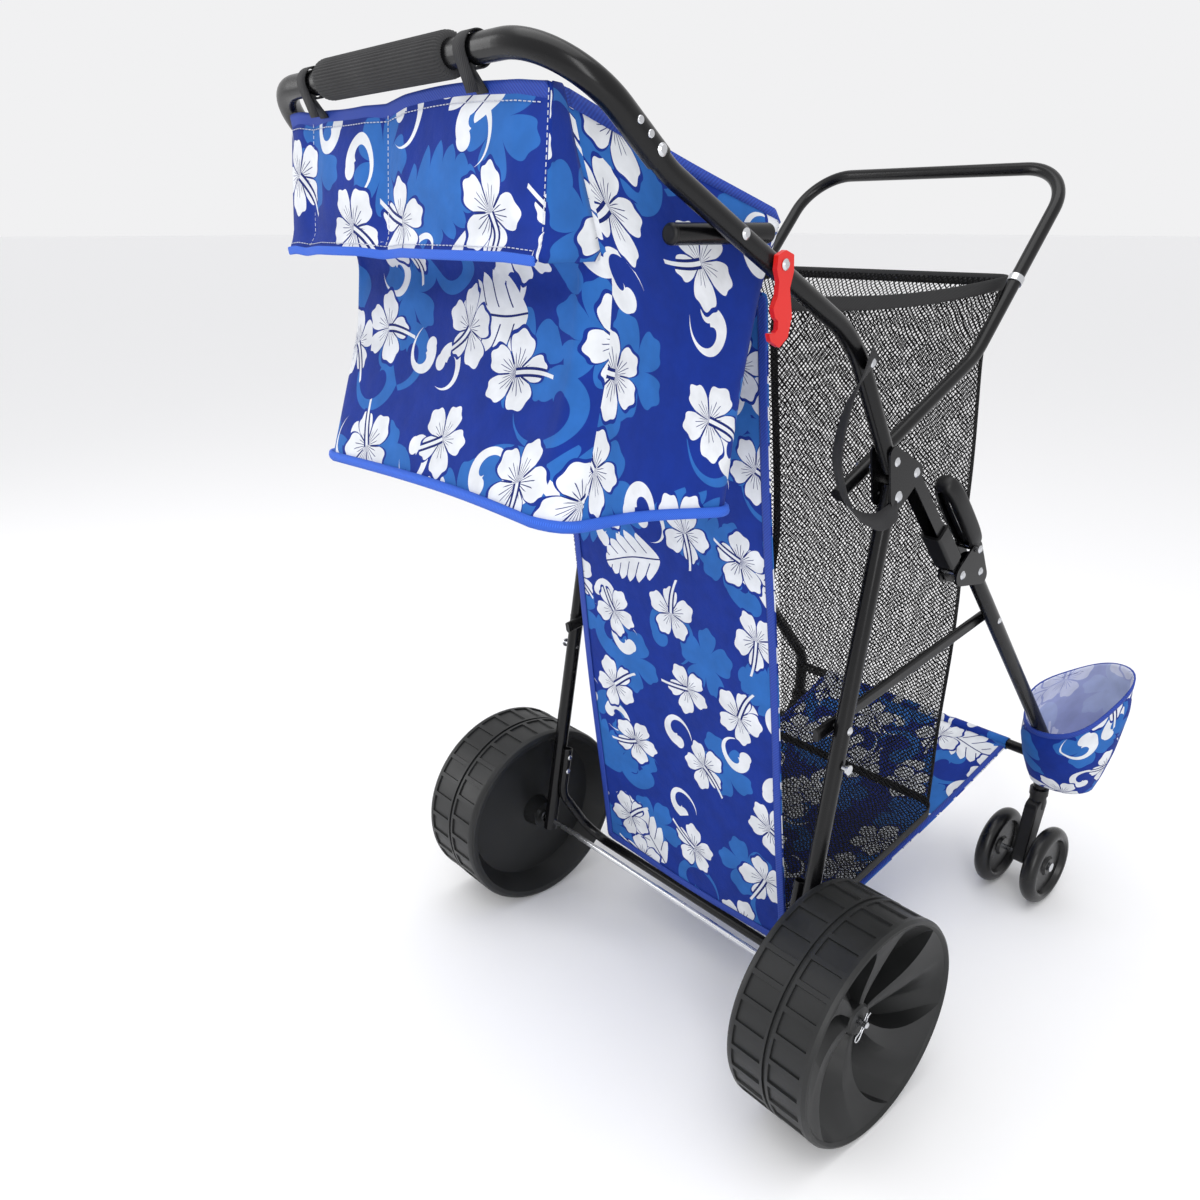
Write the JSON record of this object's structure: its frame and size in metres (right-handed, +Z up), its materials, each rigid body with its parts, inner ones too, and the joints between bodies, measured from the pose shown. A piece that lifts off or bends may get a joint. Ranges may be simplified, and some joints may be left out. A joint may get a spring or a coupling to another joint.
{
  "type": "beach cart",
  "caption": "Folding beach cart: wide sand wheels, swivel casters, net bag, storage bag, hoop, push handle and umbrella pouch.",
  "frame": {"origin": "on the ground, midway between the rear wheels, under their axle", "axes": "+X to the cart's right, +Y forward to the casters, +Z up"},
  "size_m": [0.727, 1.0584, 1.1443],
  "materials": {
    "black_powder_coat": "satin black powder coat on steel tube",
    "bright_steel": "bright zinc plated steel",
    "black_moulding": "textured black moulded plastic",
    "wheel_moulding": "satin black moulded wheel",
    "caster_moulding": "smooth black caster tread",
    "red_moulding": "glossy red moulded plastic",
    "grip_foam": "closed cell foam, moulded ribs",
    "print_cloth": "coated polyester, tropical print",
    "net_cloth": "open polyester net",
    "webbing": "polypropylene webbing"
  },
  "bodies": {
    "root": {"rear_leg_right": "black_powder_coat", "rear_leg_left": "black_powder_coat", "axle_rod": "bright_steel", "axle_spacers": "bright_steel", "wheel_clips": "bright_steel", "panel_frame_tube": "black_powder_coat", "frame_rivets": "bright_steel", "catch_studs": "bright_steel", "back_panel": "print_cloth", "floor_panel": "print_cloth", "mesh_bag": "net_cloth"},
    "push_frame": {"handle_tube": "black_powder_coat", "foam_grip": "grip_foam", "side_tube_right": "black_powder_coat", "side_tube_left": "black_powder_coat", "pivot_bracket_right": "black_powder_coat", "pivot_bracket_left": "black_powder_coat", "pivot_rivets": "bright_steel", "snap_buttons": "bright_steel", "handle_rivets": "bright_steel", "storage_bag": "print_cloth", "bag_pocket": "print_cloth", "bag_loops": "webbing", "tie_strap": "webbing"},
    "rest_arm_r": {"rest_arm_right": "black_powder_coat", "arm_plugs_right": "black_moulding"},
    "rest_arm_l": {"rest_arm_left": "black_powder_coat", "arm_plugs_left": "black_moulding"},
    "hook": {"fold_hook": "red_moulding"},
    "hoop": {"hoop_tube": "black_powder_coat", "hoop_caps": "black_moulding", "hoop_rings": "bright_steel", "hoop_rivets": "bright_steel"},
    "strut_r": {"strut_right": "black_powder_coat", "strut_sleeve_right": "black_moulding"},
    "strut_l": {"strut_left": "black_powder_coat", "strut_sleeve_left": "black_moulding"},
    "front_frame": {"front_leg_right": "black_powder_coat", "front_leg_left": "black_powder_coat", "front_crossbar": "black_powder_coat", "knee_plates": "black_powder_coat", "knee_rivets": "bright_steel", "umbrella_boot": "print_cloth", "caster_collars": "black_moulding"},
    "latch_r": {"latch_lever_right": "black_moulding"},
    "latch_l": {"latch_lever_left": "black_moulding"},
    "side_link_r": {"side_link_right": "black_powder_coat", "link_caps_right": "black_moulding"},
    "side_link_l": {"side_link_left": "black_powder_coat", "link_caps_left": "black_moulding"},
    "caster_r": {"caster_fork_right": "black_moulding", "caster_axle_right": "bright_steel"},
    "caster_l": {"caster_fork_left": "black_moulding", "caster_axle_left": "bright_steel"},
    "caster_wheel_or": {"caster_wheel_outer_right": "caster_moulding"},
    "caster_wheel_ir": {"caster_wheel_inner_right": "caster_moulding"},
    "caster_wheel_ol": {"caster_wheel_outer_left": "caster_moulding"},
    "caster_wheel_il": {"caster_wheel_inner_left": "caster_moulding"},
    "wheel_r": {"rear_wheel_right": "wheel_moulding"},
    "wheel_l": {"rear_wheel_left": "wheel_moulding"}
  },
  "joints": [
    {"name": "push_fold", "type": "hinge", "parent": "root", "child": "push_frame", "pos_m": [0, 0.101, 0.728], "axis": [1, 0, 0], "range_deg": [0, 114], "deforming": ["mesh_bag", "back_panel", "floor_panel", "storage_bag", "bag_pocket"]},
    {"name": "strut_fold_r", "type": "hinge", "parent": "push_frame", "child": "strut_r", "pos_m": [0.237, 0.132, 0.75], "axis": [1, 0, 0], "range_deg": [-43.41, 0]},
    {"name": "strut_fold_l", "type": "hinge", "parent": "push_frame", "child": "strut_l", "pos_m": [-0.237, 0.132, 0.75], "axis": [1, 0, 0], "range_deg": [-43.41, 0]},
    {"name": "knee_fold", "type": "hinge", "parent": "strut_r", "child": "front_frame", "pos_m": [0, 0.258, 0.604], "axis": [1, 0, 0], "range_deg": [-105.19, 0]},
    {"name": "link_fold_r", "type": "hinge", "parent": "root", "child": "side_link_r", "pos_m": [0.222, 0.05514, 0.461], "axis": [1, 0, 0], "range_deg": [0, 33.05]},
    {"name": "link_fold_l", "type": "hinge", "parent": "root", "child": "side_link_l", "pos_m": [-0.222, 0.05514, 0.461], "axis": [1, 0, 0], "range_deg": [0, 33.05]},
    {"name": "hoop_fold", "type": "hinge", "parent": "push_frame", "child": "hoop", "pos_m": [0, 0.11, 0.752], "axis": [1, 0, 0], "range_deg": [0, 88.05]},
    {"name": "rest_arm_tilt_r", "type": "hinge", "parent": "push_frame", "child": "rest_arm_r", "pos_m": [0.2, -0.161, 0.99605], "axis": [1, 0, 0], "range_deg": [-28, 12]},
    {"name": "rest_arm_tilt_l", "type": "hinge", "parent": "push_frame", "child": "rest_arm_l", "pos_m": [-0.2, -0.161, 0.99605], "axis": [1, 0, 0], "range_deg": [-28, 12]},
    {"name": "hook_swing", "type": "hinge", "parent": "push_frame", "child": "hook", "pos_m": [0.237, -0.115, 0.9708], "axis": [1, 0, 0], "range_deg": [-45, 60]},
    {"name": "latch_lift_r", "type": "hinge", "parent": "front_frame", "child": "latch_r", "pos_m": [0.237, 0.28594, 0.63208], "axis": [-1, 0, 0], "range_deg": [0, 35]},
    {"name": "latch_lift_l", "type": "hinge", "parent": "front_frame", "child": "latch_l", "pos_m": [-0.237, 0.28594, 0.63208], "axis": [-1, 0, 0], "range_deg": [0, 35]},
    {"name": "caster_swivel_r", "type": "hinge", "parent": "front_frame", "child": "caster_r", "pos_m": [0.237, 0.603, 0.15], "axis": [0, 0, 1], "continuous": true},
    {"name": "caster_swivel_l", "type": "hinge", "parent": "front_frame", "child": "caster_l", "pos_m": [-0.237, 0.603, 0.15], "axis": [0, 0, 1], "continuous": true},
    {"name": "caster_spin_or", "type": "hinge", "parent": "caster_r", "child": "caster_wheel_or", "pos_m": [0.275, 0.576, 0.062], "axis": [1, 0, 0], "continuous": true},
    {"name": "caster_spin_ir", "type": "hinge", "parent": "caster_r", "child": "caster_wheel_ir", "pos_m": [0.199, 0.576, 0.062], "axis": [1, 0, 0], "continuous": true},
    {"name": "caster_spin_ol", "type": "hinge", "parent": "caster_l", "child": "caster_wheel_ol", "pos_m": [-0.275, 0.576, 0.062], "axis": [1, 0, 0], "continuous": true},
    {"name": "caster_spin_il", "type": "hinge", "parent": "caster_l", "child": "caster_wheel_il", "pos_m": [-0.199, 0.576, 0.062], "axis": [1, 0, 0], "continuous": true},
    {"name": "wheel_spin_r", "type": "hinge", "parent": "root", "child": "wheel_r", "pos_m": [0.307, 0, 0.14], "axis": [1, 0, 0], "continuous": true},
    {"name": "wheel_spin_l", "type": "hinge", "parent": "root", "child": "wheel_l", "pos_m": [-0.307, 0, 0.14], "axis": [1, 0, 0], "continuous": true}
  ],
  "couplings": [
    {"joint": "strut_fold_r", "follows": "push_fold", "ratio": -0.38037},
    {"joint": "strut_fold_l", "follows": "push_fold", "ratio": -0.38037},
    {"joint": "knee_fold", "follows": "push_fold", "ratio": -0.92226},
    {"joint": "link_fold_r", "follows": "push_fold", "ratio": 0.28947},
    {"joint": "link_fold_l", "follows": "push_fold", "ratio": 0.28947},
    {"joint": "hoop_fold", "follows": "push_fold", "ratio": 0.77193}
  ]
}
